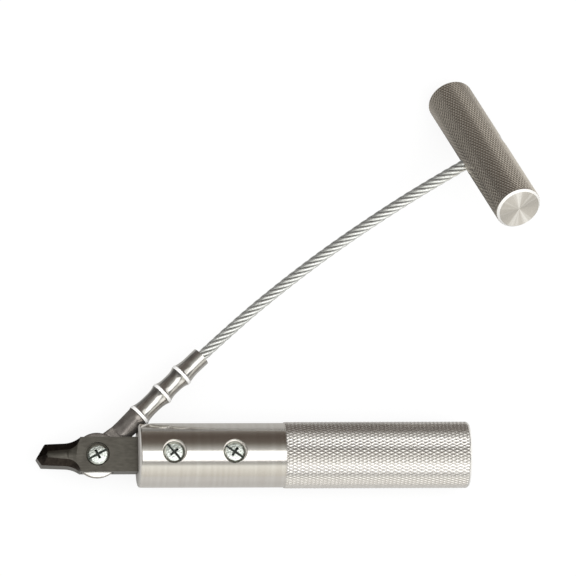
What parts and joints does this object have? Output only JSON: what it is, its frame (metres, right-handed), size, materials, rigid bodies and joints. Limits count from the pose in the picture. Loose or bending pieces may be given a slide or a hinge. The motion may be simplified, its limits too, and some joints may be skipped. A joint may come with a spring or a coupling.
{
  "type": "windscreen cut-out pull knife",
  "caption": "Hand tool with a knurled aluminium handle, a black bevelled cutter head, and a wire rope on a pivot that ends in a knurled T pull handle.",
  "frame": {"origin": "on the handle's axis, at the middle of the knurled grip", "axes": "+X runs along the handle to its rear end; +Z is square to the flat faces of the cutter head and points up when the tool lies on a table, with the screw heads on top; +Y is the side that the rope folds to"},
  "size_m": [0.2115, 0.1756, 0.0659],
  "materials": {
    "turned_aluminium": "turned and knurled, bare",
    "black_steel": "black oxide, ground bevels",
    "zinc_steel": "bright zinc plating",
    "nickel_steel": "nickel plated, pressed",
    "rope_wire": "bright galvanised wire, six strands"
  },
  "bodies": {
    "handle": {"handle_body": "turned_aluminium", "cutter_head": "black_steel", "handle_screws": "zinc_steel", "pivot_screw": "zinc_steel"},
    "rope": {"rope_eye": "nickel_steel", "ferrule": "nickel_steel", "wire_rope": "rope_wire", "rope_stop": "nickel_steel"},
    "pull": {"pull_handle": "turned_aluminium"}
  },
  "joints": [
    {"name": "rope_pivot", "type": "hinge", "parent": "handle", "child": "rope", "pos_m": [-0.1187, 0, 0], "axis": [0, 0, 1], "range_deg": [0, 90]},
    {"name": "pull_swivel", "type": "hinge", "parent": "rope", "child": "pull", "pos_m": [0.0465, 0.1266, 0.01884], "axis": [0.8682, 0.4734, 0.1487], "continuous": true}
  ]
}
